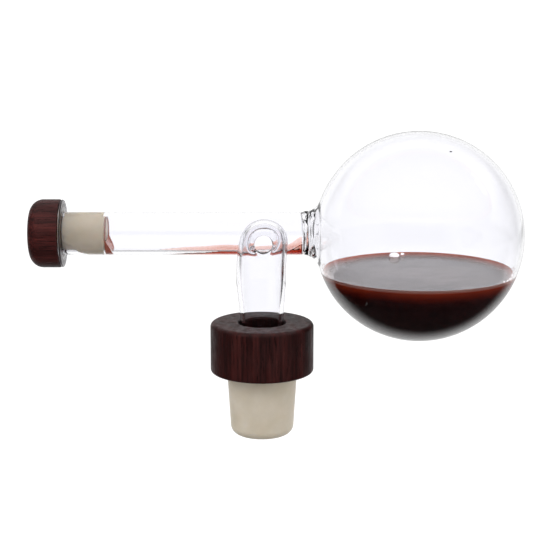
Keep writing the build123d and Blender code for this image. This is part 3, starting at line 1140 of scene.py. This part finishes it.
def pale_floor():
    """A white floor with a trace of mottling, plain to look at, dimmer near and aside through glass."""
    material, tree, shader = new_finish("pale_lit_floor")
    tree.nodes.remove(shader)
    where = place_on_piece(tree)
    x, y, _ = add_node(tree, "SeparateXYZ", {"Vector": where}).outputs
    middle = ease(tree, reckon(tree, "ABSOLUTE", x), (0.34, 0.6), (1.0, 0.0))
    behind = ease(tree, y, (0.083, 0.103), (0.0, 1.0))
    through_glass = spread(tree, reckon(tree, "MULTIPLY", middle, behind), (0.0, 1.0), (SIDE_GREY, WHITE))
    plain = ease(tree, y, (-0.35, 0.1), (BACKDROP, WHITE))
    looked_at = add_node(tree, "LightPath").outputs["Is Camera Ray"]
    mottle = spread(tree, noise(tree, where, scale=3.0, detail=3.0), (0.0, 1.0), (0.985, 1.015))
    strength = reckon(tree, "MULTIPLY", switch(tree, looked_at, through_glass, plain), mottle)
    glow = add_node(tree, "Emission", {"Color": (1, 1, 1, 1), "Strength": strength})
    feed(tree.nodes["Material Output"], {"Surface": glow.outputs["Emission"]})
    return material


# ---------------- the pieces

glass = fused_glass()
grain = stone(wall_middle(BULB_X + 7.6, BULB_Z + 27.6), (0.42, 0.24, 0.30))
pool = wine_pool()
film = tube_residue()
drop = plug_residue()
ring = wet_ring()
big_bubble = surface_bubble("large_bubble", BULB_X - 5.5, 1.75, 0.62)
small_bubble = surface_bubble("small_bubble", BULB_X - 2.7, 0.65, 0.8)
foam = edge_foam()
collar = wood_collar()
plug = bottle_plug()
plug.visible_glossy = False
cap = end_cap()
small_plug = end_plug()

vessel = (glass, grain)
liquid = (pool, film, drop, ring, big_bubble, small_bubble, foam)

cut_at_wine_edge(glass)
finish(glass, clear_glass(), wetted_glass())
mark_wetted_wall(glass)
finish(grain, dark_stone())
wine = red_wine()
for piece in (pool, film, drop, ring):
    finish(piece, wine)
mark_points(drop, "murk", np.full(len(drop.data.vertices), 0.85))
painted_highlight_film = bubble_film_painted_highlight()
for piece in (big_bubble, small_bubble, foam):
    finish(piece, painted_highlight_film)
finish(plug, milky_silicone("bottle_plug_silicone", 1.0))
# Painted light: the end plug's silicone is a 1.38 times lighter copy of the same silicone, for the light
# that the glass around it keeps from it.
finish(small_plug, milky_silicone("end_plug_silicone_painted_lighter", 1.38))
finish(collar, rosewood("collar_rosewood", (0, 0, 0.4), (0, 0, 0), 0.62))
cap_centre = (CAP_FAR * MM, TUBE_Y * MM, TUBE_Z * MM)
finish(cap, rosewood("cap_rosewood", (0, math.pi / 2, 0), cap_centre, 0.88))

for piece in vessel + liquid:
    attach(piece, "glass")
for piece in (collar, plug):
    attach(piece, "bottle_stopper")
for piece in (cap, small_plug):
    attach(piece, "end_stopper")

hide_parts("stem_tube", "port_ring", "side_tube", "pour_lip", "bulb_neck", "glass_bulb")
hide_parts("liquid_pool")
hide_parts("tube_residue")
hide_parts("plug_residue")
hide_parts("wood_collar")
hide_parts("bottle_plug")
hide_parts("end_cap")
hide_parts("end_plug")

# ---------------- studio

VIEW_PITCH = math.radians(11.8)
FORWARD = Vector((0.0, math.cos(VIEW_PITCH), -math.sin(VIEW_PITCH)))


def studio_floor():
    """A round floor below the plug, as one fan of triangles."""
    count = 96
    angle = around_angles(count)
    height = PLUG_END - 60.0
    reach = 1100.0
    cloud = np.stack([reach * np.cos(angle), reach * np.sin(angle), np.full(count, height)], -1)
    cloud = np.concatenate([cloud, [(0, 0, height)]])
    step = np.arange(count)
    fan = np.stack([step, (step + 1) % count, np.full(count, count)], -1)
    floor = new_piece("studio_floor", cloud, fan.tolist())
    finish(floor, pale_floor())
    floor.visible_glossy = False


def softbox(name, place, aim, size, watts):
    """A square area light that faces a point, left out of mirror reflections."""
    lamp = bpy.data.lights.new(name, "AREA")
    lamp.shape = "SQUARE"
    lamp.size = size
    lamp.energy = watts
    holder = put_in_scene(bpy.data.objects.new(name, lamp))
    holder.location = place
    holder.rotation_euler = (Vector(aim) - Vector(place)).to_track_quat("-Z", "Y").to_euler()
    holder.visible_glossy = False
    holder.visible_transmission = False


def studio_world():
    """White wall behind, bright ceiling and grey sides; mirrors see a dark room in front and below.

    Light that reaches matt surfaces comes from an even dome, so that it stays soft.
    """
    world = bpy.data.worlds.new("studio")
    bpy.context.scene.world = world
    world.use_nodes = True
    tree = world.node_tree
    where = add_node(tree, "TexCoord").outputs["Generated"]
    ray = add_node(tree, "LightPath").outputs

    def patch(direction, edges, levels):
        """A level that eases to another towards a direction; the edges are cosines of the angle."""
        toward = add_node(tree, "VectorMath", {0: where, 1: direction}, operation="DOT_PRODUCT")
        return ease(tree, toward.outputs["Value"], edges, levels)

    up = (0.0, 0.0, 1.0)
    left = (-1.0, 0.0, 0.0)
    right = (1.0, 0.0, 0.0)
    seen = patch(FORWARD, (0.10, 0.85), (BACKDROP, WHITE))
    ahead = patch(FORWARD, (0.58, 0.78), (DARK_ROOM, WHITE))
    above = patch(up, (0.22, 0.50), (DARK_ROOM, WHITE))
    beside = patch(left, (0.45, 0.85), (DARK_ROOM, LEFT_WALL))
    refracted = reckon(tree, "MAXIMUM", reckon(tree, "MAXIMUM", ahead, above), beside)
    mirrored_wall = patch(FORWARD, (0.56, 0.86), (DARK_ROOM, MIRRORED_WALL))
    ceiling = patch(up, (0.35, 0.75), (DARK_ROOM, CEILING))
    mirrored = reckon(tree, "MAXIMUM", mirrored_wall, ceiling)
    sky = patch(up, (-0.6, 0.9), (DOME_LOW, DOME_HIGH))
    dome = reckon(tree, "ADD", sky, patch(right, (0.2, 0.95), (0.0, RIGHT_GLOW)))
    was_matt = reckon(tree, "GREATER_THAN", ray["Diffuse Depth"], 0.5)
    bent = switch(tree, ray["Is Transmission Ray"], mirrored, refracted)
    direct = switch(tree, ray["Is Glossy Ray"], seen, bent)
    strength = switch(tree, was_matt, direct, dome)
    feed(tree.nodes["Background"], {"Color": (1.0, 1.0, 1.0, 1), "Strength": strength})


studio_floor()
studio_world()
softbox("left_front_softbox", (-0.6, -0.7, 0.8), (0, 0, 0.02), 0.6, 5.0)

# ---------------- camera

VIEW_DISTANCE = 0.462
VIEW_TARGET = Vector((4.07 * MM, 0.0, 29.5 * MM))
SENSOR_WIDTH = 36.0
FOCAL_LENGTH = 100.617

lens = bpy.data.cameras.new("camera")
lens.sensor_width = SENSOR_WIDTH
lens.lens = FOCAL_LENGTH
lens.clip_start = 0.01
lens.clip_end = 100.0
camera = put_in_scene(bpy.data.objects.new("camera", lens))
camera.location = VIEW_TARGET - VIEW_DISTANCE * FORWARD
camera.rotation_euler = (math.pi / 2 - VIEW_PITCH, 0, 0)
bpy.context.scene.camera = camera
bpy.context.scene.view_settings.view_transform = "Standard"
